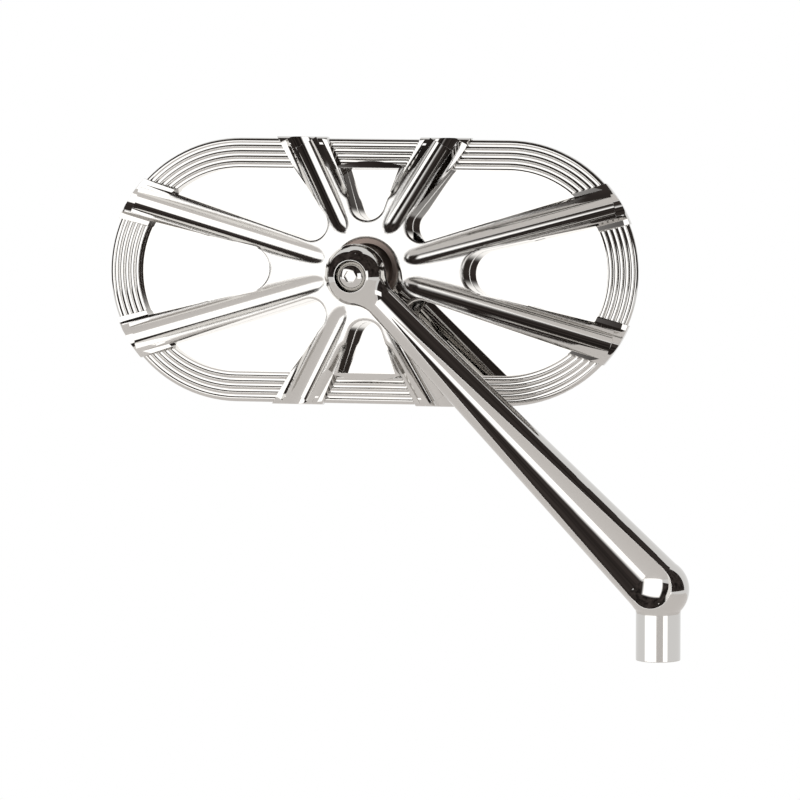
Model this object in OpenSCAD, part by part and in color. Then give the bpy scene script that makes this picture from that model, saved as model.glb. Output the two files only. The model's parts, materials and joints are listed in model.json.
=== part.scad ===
// Motorcycle mirror: an obround head with a spoked back, on a ball joint and a straight arm.
// Millimetres. The origin is the centre of the stem's bottom face and +Z is up.
// The glass faces +Y, the spoked back of the head faces -Y, and the arm stands at the back.

/* [Head] */
// Width of the head over its rim
head_w = 162.5; // [150:0.5:175]
// Height of the head over its rim
head_h = 80; // [78:0.5:86]
// Width of the grooved rim
rim_w = 9.1; // [8.8:0.1:10]
// Depth of the outer wall, from the rim's edge to the glass side
wall_d = 9; // [9:0.1:12]
// Inward slope of the outer wall, in degrees
wall_slope = 12; // [8:0.5:14]
// Radius of the rounded outer edge of the rim
edge_r = 1.2; // [0.8:0.1:1.4]
// Height that the rim gains from its outer edge to the windows
rim_rise = 1; // [0.6:0.1:1.6]
// Depth of the window floor under the rim's edge
floor_d = 2; // [1.6:0.1:2.4]
// Drop of the crown from the hub to the rim, along each axis
crown_drop = 7.7; // [7.2:0.1:8.2]
// Rest tilt of the head, its back turned up, in degrees
rest_tilt = 5.5; // [0:0.5:8]

/* [Rim grooves] */
// Number of grooves around the rim
grooves = 5; // [3:1:5]
// Distance from one groove to the next
groove_pitch = 1.65; // [1.5:0.05:1.7]
// Radius of the cutter that made the grooves
groove_r = 1; // [0.9:0.05:1.2]
// Depth of a groove
groove_depth = 0.35; // [0.2:0.05:0.45]

/* [Spokes] */
// Angle of the four side spokes from the long axis, in degrees
side_spoke_a = 15.8; // [15:0.1:17]
// Angle of the four steep spokes from the long axis, in degrees
steep_spoke_a = 61.3; // [60:0.1:63]
// Width of a spoke across its foot
spoke_w = 13.6; // [13:0.1:15]
// Width of a spoke across its two crests
crest_w = 11; // [10:0.1:12]
// Distance from the hub's centre to the pointed end of a flute
flute_start = 12; // [11.8:0.1:14]
// Radius of a flute's section
flute_r = 5; // [4:0.1:5.5]
// Radius of a flute's section at its pointed end
flute_tip_r = 1.2; // [0.8:0.1:2]
// Depth of a flute at the rim
flute_depth = 1.7; // [1:0.1:1.9]
// How far the spoke ends stand out of the rim
spoke_proud = 0.5; // [0.2:0.1:0.8]
// Rounding of the spoke ends over the rim's edge
spoke_end_r = 2.5; // [2:0.1:3]

/* [Windows] */
// Distance from the centre to the round end of an end window
end_window_x = 29.6; // [28:0.1:32]
// Radius of that round end
end_window_r = 6.9; // [6:0.1:7.5]
// Slope of an end window's sides, in degrees
end_window_a = 12.8; // [12:0.1:13.5]
// Distance from the centre to the round end of the top and bottom windows
mid_window_y = 15; // [14.8:0.1:17]
// Radius of that round end
mid_window_r = 5.4; // [4.5:0.1:6]
// Slope of the top and bottom windows' sides from upright, in degrees
mid_window_a = 16.9; // [15:0.1:18]
// Distance from the centre to the middle of a corner window's round end
corner_window_at = 21.8; // [21:0.1:24]
// Direction of that point, in degrees
corner_window_dir = 38.9; // [38:0.1:40]
// Radius of that round end
corner_window_r = 5; // [4:0.1:5.5]
// Slope of a corner window's long side, in degrees
corner_low_a = 18; // [17.5:0.1:19]
// Slope of a corner window's short side, in degrees
corner_high_a = 51.8; // [50:0.1:53]

/* [Glass and floor] */
// Thickness of the polished floor plate
plate_t = 1.5; // [1.2:0.1:1.5]
// Thickness of the foam pad behind the glass
pad_t = 2.5; // [2.5:0.1:3]
// Gap between the foam pad and the pressure plate
pad_gap = 0.6; // [0.5:0.1:1]
// Thickness of the mirror glass
glass_t = 2.5; // [2:0.1:2.5]
// Thickness of the outer wall at the glass
wall_t = 1.9; // [1.7:0.1:2.2]
// Width of the rubber gasket around the glass
gasket_w = 1; // [0.8:0.1:1.2]
// How far the gasket's lip covers the glass
gasket_lap = 0.8; // [0.5:0.1:1]
// Gap around the floor plate
plate_gap = 0.2; // [0.1:0.05:0.3]
// Radius of the floor plate's screws
plate_screw_r = 1; // [0.8:0.05:1.2]
// Distance of these screws inside the rim's edge
plate_screw_in = 6.2; // [5.9:0.1:6.6]
// Length of these screws
plate_screw_l = 3.9; // [3:0.1:4]

/* [Ball joint] */
// Radius of the ball
ball_r = 8.5; // [8.2:0.1:8.6]
// Running gap between the parts of the joint
run_gap = 0.05; // [0.03:0.01:0.08]
// Thickness of the liner behind the ball
liner_t = 0.55; // [0.5:0.05:0.7]
// Height of the liner's edge under the ball's centre
liner_edge = 3.3; // [3:0.1:4]
// Wall of the two seats around the liner
seat_wall = 2.25; // [2:0.05:2.4]
// Height of the hub's top over the ball's centre
crown_up = 3.6; // [3.5:0.1:4]
// Height over the ball's centre of the shoulder that stops the socket ring
shoulder_up = 1.7; // [1.6:0.1:1.9]
// Height of the socket ring's face over the ball's centre
ring_up = 2.7; // [2.5:0.1:2.9]
// How far the socket ring's nose stands out around the ball
ring_wall = 1.15; // [0.9:0.05:1.3]
// Thickness of the socket ring's flange
ring_flange_t = 0.5; // [0.4:0.05:0.6]
// Gap between the ball and the socket ring
ring_gap = 0.1; // [0.08:0.01:0.15]
// Thickness of the rear seat behind the liner
seat_floor_t = 1.25; // [1:0.05:1.5]
// Thickness of the disc spring's steel
spring_t = 0.4; // [0.3:0.05:0.5]
// Height of the disc spring's cone
spring_cone = 0.2; // [0.1:0.05:0.3]
// Inner radius of the disc spring
spring_r = 5.2; // [4.5:0.1:6]
// Thickness of the pressure plate
press_t = 1.2; // [1.1:0.1:1.3]
// Gap between the pressure plate and the glass
press_gap = 0.5; // [0.4:0.1:0.6]
// Half the straight length of the pressure plate and its boss
press_half = 5; // [4.5:0.1:6]
// Radius of the pressure plate's round ends
press_r = 13.9; // [13.7:0.1:14]
// Half the spacing of the clamp screws along the head
clamp_x = 15; // [14.5:0.1:16]
// Half the spacing of the clamp screws across the head
clamp_y = 5.5; // [5:0.1:6]
// Radius of a clamp screw
clamp_r = 1.25; // [1:0.05:1.3]
// Length of a clamp screw
clamp_l = 7.2; // [6:0.1:8]

/* [Arm] */
// Distance from the stem to the ball, along X
arm_x = 91.5; // [80:0.5:100]
// Height of the ball over the stem's foot
arm_z = 113; // [100:0.5:125]
// Radius of the boss at the top of the arm
boss_r = 9.2; // [9:0.1:9.6]
// Radius of the arm where it meets the boss
arm_r_top = 4.3; // [4:0.1:5]
// Radius of the arm at its elbow
arm_r_low = 9.05; // [8.8:0.05:9.1]
// Radius of the rounded elbow
elbow_r = 9.2; // [9.2:0.05:9.6]
// Radius of the fillet between the boss and the arm
neck_fillet = 8; // [6:0.5:9]
// Height of the elbow's centre
elbow_z = 21; // [20:0.5:24]
// Radius of the stem
stem_r = 6.65; // [6.4:0.05:7]
// Radius of the fillet between the stem and the elbow
stem_fillet = 4; // [3:0.5:5]
// How far that fillet runs into the elbow
stem_lap = 0.3; // [0.2:0.05:0.5]
// Radius of the drilled core of the stem's thread, 5/16-18
thread_r = 3.3; // [3.2:0.05:3.4]
// Depth of the threaded hole
thread_l = 16; // [12:0.5:18]

/* [Scoop] */
// Distance from the boss to the start of the scoop
scoop_start = 16; // [14:0.5:20]
// Distance from the boss to the middle of the scoop's round end
scoop_end = 125.5; // [120:0.5:126]
// Radius of the scoop's section at its start
scoop_r_top = 1.2; // [1:0.1:2]
// Radius of the scoop's section at its end
scoop_r_low = 10.6; // [9:0.1:11]
// Distance of the scoop's bottom from the arm's axis, at its start
scoop_in_top = 4.85; // [4.6:0.05:5]
// Distance of the scoop's bottom from the arm's axis, at its end
scoop_in_low = 3.8; // [3.5:0.1:5]

/* [Ball stud] */
// Radius of the stud's neck
neck_r = 4.5; // [4:0.1:4.6]
// Radius of the stud's shank in the boss
shank_r = 3.8; // [3.5:0.1:4]
// Length of the neck between the boss's flat and the ball
neck_l = 1.5; // [1.4:0.1:3]
// Depth of the flat where the stud seats, from the boss's round
stud_flat = 1.2; // [1:0.1:1.4]
// Distance from the arm's plane to the end of the shank
shank_end_y = 1; // [0.5:0.1:2]
// Radius of the stud screw
screw_r = 2.4; // [2.3:0.05:2.5]
// Radius of the stud screw's head
screw_head_r = 4.6; // [4.4:0.05:4.8]
// Height of the stud screw's head
screw_head_h = 2.5; // [2.2:0.1:2.8]
// Width across flats of its socket
screw_socket_w = 3.2; // [2.9:0.1:3.4]
// Depth of its socket
screw_socket_d = 1.6; // [1.2:0.1:1.8]
// Gap around the screw and its head
screw_gap = 0.2; // [0.1:0.05:0.3]
// Depth of the screw head's seat, from the boss's round
screw_sink = 4.4; // [4.2:0.1:4.6]
// Thickness of the lock washer
washer_t = 1.2; // [1:0.1:1.3]
// Radius of the lock washer
washer_r = 4.2; // [4:0.1:4.4]
// Width of the lock washer's split
washer_split = 0.6; // [0.4:0.1:0.8]
// Slant of that split, in degrees
washer_split_a = 15; // [10:1:20]
// How far the screw reaches into the stud
screw_reach = 7; // [5:0.5:8]
// Radius of the dowel that keeps the stud from turning
dowel_r = 0.8; // [0.6:0.1:1]
// Length of the dowel
dowel_l = 5; // [4:0.5:6]

/* [Hidden] */
$fn = 96;
// Margin by which a cut runs past the face it opens
cut = 1;
// How far a window's straight sides run inside its round end
side_lap = 0.01;
// A flat screw's head and the width of its socket, as shares of the shank's radius
flat_head = 1.9;
flat_socket = 1.2;
// Height of a drill's point, as a share of its radius
drill_point = 0.6;

// The head's outline is every point within edge_in of a middle line of this half length
edge_in = head_h / 2;
middle = (head_w - head_h) / 2;
window_in = edge_in - rim_w;

// Radii of the crown along its two axes, from its drop at the rim
crown_ry = (pow(edge_in, 2) + pow(crown_drop, 2)) / (2 * crown_drop);
crown_rx = (pow(head_w / 2, 2) + pow(crown_drop, 2)) / (2 * crown_drop);
crown_swing = 2 * asin(head_w / 2 / crown_rx) + 4;

// Heights in the head, from the rim's edge
floor_z = -floor_d;
plate_z = floor_z - plate_t;
glass_z = plate_z - pad_t;
glass_face_z = glass_z - glass_t;
wall_z = -wall_d;

// Distances from the middle line, at the glass side
wall_out = edge_in - edge_r + edge_r * cos(wall_slope)
    - (wall_d - edge_r - edge_r * sin(wall_slope)) * tan(wall_slope);
recess_in = wall_out - wall_t;
glass_in = recess_in - gasket_w;

// Radii of the ball joint, from the ball outwards
liner_r = ball_r + run_gap + liner_t;
seat_r = liner_r + run_gap;
seat_out_r = seat_r + seat_wall;
seat_bore_r = seat_out_r + run_gap;
ring_nose_r = ball_r + ring_wall;

// Heights of the ball joint, from the glass up
press_low_z = glass_z + press_gap;
press_z = press_low_z + press_t;
seat_low_z = press_z + spring_t + spring_cone;
ball_z = seat_low_z + seat_floor_t + seat_r;
shoulder_z = ball_z + shoulder_up;
ring_low_z = shoulder_z - ring_flange_t;
ring_face_z = ball_z + ring_up;
crown_h = ball_z + crown_up;

// Distances of the ball stud's parts from the arm's middle plane
stud_seat_y = boss_r - stud_flat;
screw_seat_y = boss_r - screw_sink;
ball_y = stud_seat_y + neck_l + ball_r;

// Spokes, numbered anticlockwise from the long axis
spoke_dirs = [side_spoke_a, steep_spoke_a, 180 - steep_spoke_a, 180 - side_spoke_a,
    180 + side_spoke_a, 180 + steep_spoke_a, 360 - steep_spoke_a, 360 - side_spoke_a];

// Directions of the four clamp screws
clamp_signs = [[1, 1], [-1, 1], [-1, -1], [1, -1]];
head_depth = crown_h + wall_d;

// The arm runs from the boss to the elbow
arm_l = norm([arm_x, arm_z - elbow_z]);
arm_fall = atan2(arm_z - elbow_z, arm_x);

chrome = [0.82, 0.82, 0.83];
steel = [0.62, 0.61, 0.6];
nylon = [0.88, 0.87, 0.82];
rubber = [0.12, 0.12, 0.12];

// Point at a distance and a direction
function polar(r, a) = [r * cos(a), r * sin(a)];

// How far the crown falls at a distance from the centre, for each square millimetre
function crown_fall(a) = pow(cos(a), 2) / (2 * crown_rx) + pow(sin(a), 2) / (2 * crown_ry);

// Distance from the hub along a spoke to where it lies inward from the middle line's band
function spoke_reach(a, inward) =
    let (up = abs(sin(a)), along = abs(cos(a)))
    inward * along / up <= middle ? inward / up
        : middle * along + sqrt(pow(inward, 2) - pow(middle * up, 2));

// Puts a piece drawn flat in the head's own frame onto the ball, at the rest tilt
module on_head() {
    translate([-arm_x, ball_y, arm_z])
        rotate([90 - rest_tilt, 0, 0])
            translate([0, 0, -ball_z]) children();
}

// Puts a piece drawn along +Z onto the stud's axis, +Z pointing from the ball to the boss
module on_stud() {
    translate([-arm_x, 0, arm_z]) rotate([90, 0, 0]) children();
}

// Puts a piece drawn along +Z onto the arm, from the boss down to the elbow; +X is its front
module along_arm() {
    translate([-arm_x, 0, arm_z])
        rotate([0, 90 + arm_fall, 0])
            rotate([0, 0, -90]) children();
}

// Flat outline of the head, shrunk to lie inward from the middle line's band
module obround(inward, half = middle) {
    square([2 * half, 2 * inward], center = true);
    for (side = [-1, 1]) translate([side * half, 0]) circle(r = inward);
}

module obround_slab(inward, low, high, half = middle) {
    translate([0, 0, low]) linear_extrude(high - low) obround(inward, half);
}

// Carries a flat section around the head: x is the distance from the middle line, y the height
module around_rim() {
    for (side = [0, 180]) rotate([0, 0, side]) {
        translate([middle, 0, 0]) rotate([0, 0, -90]) rotate_extrude(angle = 180) children();
        translate([-middle, 0, 0]) rotate([90, 0, 90]) linear_extrude(2 * middle) children();
    }
}

// Section of the rim and the outer wall that reaches to the glass
module rim_section() {
    bead = [edge_in - edge_r, -edge_r];
    translate(bead) circle(r = edge_r, $fn = 48);
    polygon([[window_in, floor_z], [window_in, rim_rise], [bead[0], 0],
        bead + edge_r * [cos(wall_slope), -sin(wall_slope)], [wall_out, wall_z],
        [recess_in, wall_z], [recess_in, floor_z]]);
}

module groove_sections() {
    first = edge_in - edge_r - groove_pitch / 2 + groove_depth / 2;
    slope = rim_rise / (rim_w - edge_r);
    for (i = [0 : grooves - 1]) {
        x = first - i * groove_pitch;
        translate([x, (edge_in - edge_r - x) * slope + groove_r - groove_depth])
            circle(r = groove_r, $fn = 48);
    }
}

// The grooves, which stop at the feet of the spokes
module rim_grooves() {
    difference() {
        around_rim() groove_sections();
        for (a = spoke_dirs) rotate([0, 0, a]) translate([0, -spoke_w / 2, floor_z])
            cube([head_w, spoke_w, head_depth]);
    }
}

// Everything under the crowned surface of the back
module under_crown() {
    translate([0, 0, crown_h - crown_rx])
        rotate([90, 0, 0]) rotate([0, 0, 90 - crown_swing / 2])
            rotate_extrude(angle = crown_swing, $fn = 180)
                translate([crown_rx - crown_ry, 0]) circle(r = crown_ry, $fn = 180);
}

// Outline that the spoke ends reach, with their tops rounded over the rim
module spoke_limit() {
    reach = edge_in + spoke_proud;
    round_in = reach - spoke_end_r;
    obround_slab(round_in, floor_z, crown_h + cut);
    around_rim() {
        translate([round_in - cut, floor_z]) square([spoke_end_r + cut, floor_d]);
        translate([round_in, 0]) circle(r = spoke_end_r, $fn = 48);
    }
}

// One spoke: straight foot, sloping flanks and a flat top that the crown trims
module spoke_bar(a) {
    foot = spoke_w / 2;
    crest = crest_w / 2;
    knee = crown_h / 2;
    rotate([90, 0, a + 90]) linear_extrude(head_w / 2 + cut)
        polygon([[-foot, floor_z], [foot, floor_z], [foot, rim_rise], [crest, knee],
            [crest, crown_h + cut], [-crest, crown_h + cut], [-crest, knee], [-foot, rim_rise]]);
}

// Flute of one spoke: a cone whose lowest line enters the crown at the tip and leaves at the rim
module flute(a) {
    fall = crown_fall(a);
    reach = spoke_reach(a, edge_in);
    tip_z = crown_h - fall * pow(flute_start, 2);
    end_z = crown_h - fall * pow(reach, 2) - flute_depth;
    dip = atan2(tip_z - end_z, reach - flute_start);
    length = norm([tip_z - end_z, reach - flute_start]);
    growth = (flute_r - flute_tip_r) / length;
    over = 4 * cut;
    rotate([0, 0, a]) translate([flute_start, 0, tip_z]) rotate([0, 90 + dip, 0])
        rotate([0, -atan(growth), 0]) translate([-flute_tip_r, 0, 0])
            cylinder(h = length + over, r1 = flute_tip_r, r2 = flute_r + growth * over);
}

// Flat outline of a window: a round end at c and two sides that open outwards
module wedge(c, r, low, high) {
    right = c + polar(r - side_lap, low - 90);
    left = c + polar(r - side_lap, high + 90);
    translate(c) circle(r = r);
    polygon([c, right, right + polar(head_w, low), left + polar(head_w, high), left]);
}

module windows() {
    intersection() {
        obround(window_in);
        union() {
            for (side = [0, 180]) rotate(side) {
                wedge([end_window_x + end_window_r, 0], end_window_r, -end_window_a, end_window_a);
                wedge([0, mid_window_y + mid_window_r], mid_window_r,
                    90 - mid_window_a, 90 + mid_window_a);
            }
            for (sx = [0, 1], sy = [0, 1]) mirror([sx, 0]) mirror([0, sy])
                wedge(polar(corner_window_at, corner_window_dir), corner_window_r,
                    corner_low_a, corner_high_a);
        }
    }
}

module plate_screw_places() {
    for (i = [0 : len(spoke_dirs) - 1]) plate_screw_place(i) children();
}

module plate_screw_place(i) {
    translate(polar(spoke_reach(spoke_dirs[i], edge_in - plate_screw_in), spoke_dirs[i])) children();
}

module clamp_place(i) {
    translate([clamp_signs[i][0] * clamp_x, clamp_signs[i][1] * clamp_y]) children();
}

// Flat-headed screw whose face lies at z = 0 and whose shank points up
module flat_screw(r, l) {
    head = flat_head * r;
    difference() {
        union() {
            cylinder(h = head - r, r1 = head, r2 = r, $fn = 48);
            cylinder(h = l, r = r, $fn = 48);
        }
        translate([0, 0, -cut])
            cylinder(h = cut + flat_socket * r / 2, r = flat_socket * r / 2, $fn = 6);
    }
}

// The same screw as a cutter, for the hole that it fills
module flat_screw_hole(r, l) {
    head = flat_head * r;
    cylinder(h = head - r, r1 = head, r2 = r, $fn = 48);
    translate([0, 0, -cut]) cylinder(h = cut, r = head, $fn = 48);
    cylinder(h = l, r = r, $fn = 48);
}

// Machined back of the head: grooved rim, eight fluted spokes and the hub with its socket.
// The hub reaches past the round ends of the end windows, which then cut it.
module spoke_frame() {
    hub_r = end_window_x + end_window_r / 2;
    color(chrome) on_head() difference() {
        union() {
            around_rim() rim_section();
            difference() {
                intersection() {
                    under_crown();
                    spoke_limit();
                    union() {
                        for (a = spoke_dirs) spoke_bar(a);
                        translate([0, 0, floor_z]) cylinder(h = head_depth, r = hub_r);
                    }
                }
                translate([0, 0, floor_z - cut]) linear_extrude(head_depth) windows();
            }
            obround_slab(press_r, press_z, floor_z + cut, press_half);
        }
        for (a = spoke_dirs) flute(a);
        rim_grooves();
        translate([0, 0, press_z - cut]) cylinder(h = shoulder_z - press_z + cut, r = seat_bore_r);
        cylinder(h = head_depth, r = ring_nose_r);
        plate_screw_places() translate([0, 0, plate_z])
            flat_screw_hole(plate_screw_r, plate_screw_l);
        for (i = [0 : 3]) clamp_place(i) translate([0, 0, press_low_z])
            flat_screw_hole(clamp_r, clamp_l);
    }
}

// Steel ring with the mouth of the socket, stopped by the shoulder in the hub
module socket_ring() {
    color(chrome) on_head() difference() {
        union() {
            translate([0, 0, ring_low_z]) cylinder(h = ring_flange_t, r = seat_bore_r);
            translate([0, 0, ring_low_z]) cylinder(h = ring_face_z - ring_low_z, r = ring_nose_r);
        }
        translate([0, 0, ball_z]) sphere(r = ball_r + ring_gap);
    }
}

// Nylon ring in front of the ball's middle
module front_seat() {
    color(nylon) on_head() difference() {
        translate([0, 0, ball_z + run_gap])
            cylinder(h = ring_low_z - ball_z - 2 * run_gap, r = seat_out_r);
        translate([0, 0, ball_z]) sphere(r = ball_r + run_gap);
    }
}

// Nylon cup behind the ball
module rear_seat() {
    color(nylon) on_head() difference() {
        translate([0, 0, seat_low_z]) cylinder(h = ball_z - run_gap - seat_low_z, r = seat_out_r);
        translate([0, 0, ball_z]) sphere(r = seat_r);
    }
}

// Thin low-friction cap between the ball and the rear seat
module ball_liner() {
    color(nylon) on_head() translate([0, 0, ball_z]) difference() {
        sphere(r = liner_r);
        sphere(r = ball_r + run_gap);
        translate([0, 0, ball_r - liner_edge])
            cube([4 * ball_r, 4 * ball_r, 2 * ball_r], center = true);
    }
}

// Coned spring that presses the rear seat onto the ball
module disc_spring() {
    out_r = seat_out_r - run_gap;
    color(steel) on_head() rotate_extrude()
        polygon([[spring_r, seat_low_z], [spring_r, seat_low_z - spring_t],
            [out_r, press_z], [out_r, press_z + spring_t]]);
}

// Plate that closes the socket from the glass side
module pressure_plate() {
    color(steel) on_head() difference() {
        obround_slab(press_r, press_low_z, press_z, press_half);
        for (i = [0 : 3]) clamp_place(i) translate([0, 0, press_low_z])
            flat_screw_hole(clamp_r, clamp_l);
    }
}

module clamp_screw(i) {
    color(steel) on_head() clamp_place(i) translate([0, 0, press_low_z])
        flat_screw(clamp_r, clamp_l);
}

// Polished plate that shows as the floor of the windows
module floor_plate() {
    color(chrome) on_head() difference() {
        obround_slab(recess_in - plate_gap, plate_z, floor_z);
        obround_slab(press_r + plate_gap, plate_z - cut, floor_z + cut, press_half);
        plate_screw_places() translate([0, 0, plate_z])
            flat_screw_hole(plate_screw_r, plate_screw_l);
    }
}

module plate_screw(i) {
    color(steel) on_head() plate_screw_place(i) translate([0, 0, plate_z])
        flat_screw(plate_screw_r, plate_screw_l);
}

// Foam pad that glues the glass to the floor plate, open over the pressure plate
module glass_pad() {
    color(rubber) on_head() difference() {
        obround_slab(glass_in - plate_gap, glass_z, plate_z);
        obround_slab(press_r + pad_gap, glass_z - cut, plate_z + cut, press_half);
    }
}

module mirror_glass() {
    color([0.75, 0.8, 0.84]) on_head() obround_slab(glass_in, glass_face_z, glass_z);
}

// Rubber gasket with a lip over the edge of the glass
module glass_gasket() {
    color(rubber) on_head() around_rim() {
        translate([glass_in, wall_z]) square([gasket_w, glass_z - wall_z]);
        translate([glass_in - gasket_lap, wall_z]) square([gasket_lap + gasket_w / 2, glass_face_z - wall_z]);
    }
}

// Round bar, boss, elbow and stem of the arm, before its holes and scoop
module arm_blank() {
    slope = (arm_r_low - arm_r_top) / arm_l;
    fillet_x = arm_r_top + slope * boss_r + neck_fillet;
    fillet_z = sqrt(pow(boss_r + neck_fillet, 2) - pow(fillet_x, 2));
    blend_r = elbow_r - stem_lap;
    stem_h = elbow_z - sqrt(pow(blend_r + stem_fillet, 2) - pow(stem_r + stem_fillet, 2));
    blend = [0, elbow_z] + [stem_r + stem_fillet, stem_h - elbow_z] * blend_r / (blend_r + stem_fillet);
    translate([-arm_x, 0, arm_z]) sphere(r = boss_r);
    along_arm() {
        cylinder(h = arm_l, r1 = arm_r_top, r2 = arm_r_low);
        rotate_extrude() difference() {
            polygon([[0, 0], [boss_r * fillet_x, boss_r * fillet_z] / (boss_r + neck_fillet),
                [fillet_x - neck_fillet, fillet_z], [0, fillet_z]]);
            translate([fillet_x, fillet_z]) circle(r = neck_fillet);
        }
    }
    translate([0, 0, elbow_z]) sphere(r = elbow_r);
    rotate_extrude() difference() {
        polygon([[0, 0], [stem_r, 0], [stem_r, stem_h], blend, [0, blend[1]]]);
        translate([stem_r + stem_fillet, stem_h]) circle(r = stem_fillet);
    }
}

// Long hollow down the front of the arm, widening to a round end at the elbow
module scoop() {
    along_arm() {
        axis_top = scoop_in_top + scoop_r_top;
        axis_low = scoop_in_low + scoop_r_low;
        length = scoop_end - scoop_start;
        lean = atan2(axis_low - axis_top, length);
        translate([axis_top, 0, scoop_start]) rotate([0, lean, 0])
            cylinder(h = length / cos(lean), r1 = scoop_r_top, r2 = scoop_r_low);
        translate([axis_low, 0, scoop_end]) sphere(r = scoop_r_low);
    }
}

// Straight tapered arm with the boss for the ball stud and the stem with its thread
module arm() {
    color(chrome) difference() {
        arm_blank();
        scoop();
        translate([0, 0, -cut]) cylinder(h = thread_l + cut, r = thread_r);
        translate([0, 0, thread_l]) cylinder(h = thread_r * drill_point, r1 = thread_r, r2 = 0);
        on_stud() {
            translate([0, 0, -2 * boss_r - stud_seat_y]) cylinder(h = 2 * boss_r, r = boss_r);
            translate([0, 0, -boss_r]) cylinder(h = boss_r - shank_end_y, r = shank_r);
            translate([0, 0, -boss_r]) cylinder(h = 2 * boss_r, r = screw_r + screw_gap);
            translate([0, 0, screw_seat_y]) cylinder(h = boss_r, r = screw_head_r + screw_gap);
        }
        dowel();
    }
}

// Dowel, half in the shank and half in the boss, which is also the hole for it
module dowel() {
    on_stud() translate([0, shank_r, -stud_seat_y]) cylinder(h = dowel_l, r = dowel_r, $fn = 32);
}

module stud_dowel() {
    color(steel) dowel();
}

// Ball, neck and shank, tapped for the stud screw
module ball_stud() {
    color(steel) difference() {
        on_stud() {
            translate([0, 0, -ball_y]) sphere(r = ball_r);
            translate([0, 0, -ball_y]) cylinder(h = ball_y - stud_seat_y, r = neck_r);
            translate([0, 0, -ball_y]) cylinder(h = ball_y - shank_end_y, r = shank_r);
        }
        on_stud() translate([0, 0, -screw_reach]) cylinder(h = 2 * screw_reach, r = screw_r);
        dowel();
    }
}

// Button-headed screw that pulls the stud into the boss
module stud_screw() {
    top = screw_seat_y + washer_t;
    dome_r = (pow(screw_head_r, 2) + pow(screw_head_h, 2)) / (2 * screw_head_h);
    color(steel) on_stud() difference() {
        union() {
            translate([0, 0, -screw_reach]) cylinder(h = screw_reach + top, r = screw_r);
            intersection() {
                translate([0, 0, top]) cylinder(h = screw_head_h, r = screw_head_r);
                translate([0, 0, top + screw_head_h - dome_r]) sphere(r = dome_r);
            }
        }
        translate([0, 0, top + screw_head_h - screw_socket_d])
            cylinder(h = screw_socket_d + cut, r = screw_socket_w / sqrt(3), $fn = 6);
    }
}

// Split lock washer under the screw's head
module lock_washer() {
    color(steel) on_stud() translate([0, 0, screw_seat_y]) difference() {
        cylinder(h = washer_t, r = washer_r);
        translate([0, 0, -cut]) cylinder(h = washer_t + 2 * cut, r = screw_r + screw_gap / 2);
        rotate([washer_split_a, 0, 0]) translate([0, -washer_split / 2, -washer_r])
            cube([2 * washer_r, washer_split, 3 * washer_r]);
    }
}

arm();
ball_stud();
stud_screw();
lock_washer();
stud_dowel();
ball_liner();
front_seat();
rear_seat();
spoke_frame();
socket_ring();
disc_spring();
pressure_plate();
clamp_screw(0);  // clamp_screw_1
clamp_screw(1);  // clamp_screw_2
clamp_screw(2);  // clamp_screw_3
clamp_screw(3);  // clamp_screw_4
floor_plate();
plate_screw(0);  // plate_screw_1
plate_screw(1);  // plate_screw_2
plate_screw(2);  // plate_screw_3
plate_screw(3);  // plate_screw_4
plate_screw(4);  // plate_screw_5
plate_screw(5);  // plate_screw_6
plate_screw(6);  // plate_screw_7
plate_screw(7);  // plate_screw_8
glass_pad();
mirror_glass();
glass_gasket();
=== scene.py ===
"""Motorcycle mirror in a light tent: polished metal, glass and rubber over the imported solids."""
import json
import math

import bmesh
import bpy
import numpy as np
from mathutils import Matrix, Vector

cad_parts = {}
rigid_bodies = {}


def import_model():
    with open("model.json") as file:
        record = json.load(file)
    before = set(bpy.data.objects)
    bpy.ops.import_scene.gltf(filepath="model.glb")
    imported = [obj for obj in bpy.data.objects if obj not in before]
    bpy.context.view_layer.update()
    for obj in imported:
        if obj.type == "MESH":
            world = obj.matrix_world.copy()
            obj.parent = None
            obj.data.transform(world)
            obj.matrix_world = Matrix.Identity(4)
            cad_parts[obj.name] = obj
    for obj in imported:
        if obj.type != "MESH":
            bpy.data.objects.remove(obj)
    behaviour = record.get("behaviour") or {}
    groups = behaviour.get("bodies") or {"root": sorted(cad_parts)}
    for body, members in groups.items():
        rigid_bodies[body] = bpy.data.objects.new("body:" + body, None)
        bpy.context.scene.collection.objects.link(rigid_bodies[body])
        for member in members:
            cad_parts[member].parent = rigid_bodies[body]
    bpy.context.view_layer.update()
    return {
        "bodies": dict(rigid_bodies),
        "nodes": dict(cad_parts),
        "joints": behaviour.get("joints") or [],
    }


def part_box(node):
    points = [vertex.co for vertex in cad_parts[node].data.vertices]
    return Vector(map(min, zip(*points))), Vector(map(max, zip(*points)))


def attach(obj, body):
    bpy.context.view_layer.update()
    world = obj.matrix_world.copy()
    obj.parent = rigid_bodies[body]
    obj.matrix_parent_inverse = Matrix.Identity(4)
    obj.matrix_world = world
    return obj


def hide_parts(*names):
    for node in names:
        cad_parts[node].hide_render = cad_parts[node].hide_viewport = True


bl_info = {
    "name": "Motorcycle mirror",
    "version": (1, 0, 0),
    "blender": (4, 5, 0),
    "location": "View3D > Sidebar > Mirror",
    "description": "Finishes the packed motorcycle mirror and sets the studio around it",
    "category": "Object",
}

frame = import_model()
MM = 0.001

# Rest frame of the head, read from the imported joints: the ball's centre and three directions
JOINTS = {joint["name"]: joint for joint in frame["joints"]}
BALL = Vector(JOINTS["roll"]["pos_m"])
HEAD_UP = Vector(JOINTS["pan"]["axis"]).normalized()
HEAD_BACK = -Vector(JOINTS["roll"]["axis"]).normalized()
HEAD_SIDE = HEAD_UP.cross(HEAD_BACK)
# Where the arm's bar meets the stem's axis, 21 mm over the stem's foot
STEM_TOP = Vector((0, 0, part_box("arm")[0].z + 21 * MM))

# Point attribute of the head's back: radius of the soft edge, in metres
SOFT_EDGE = "soft_edge"
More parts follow.
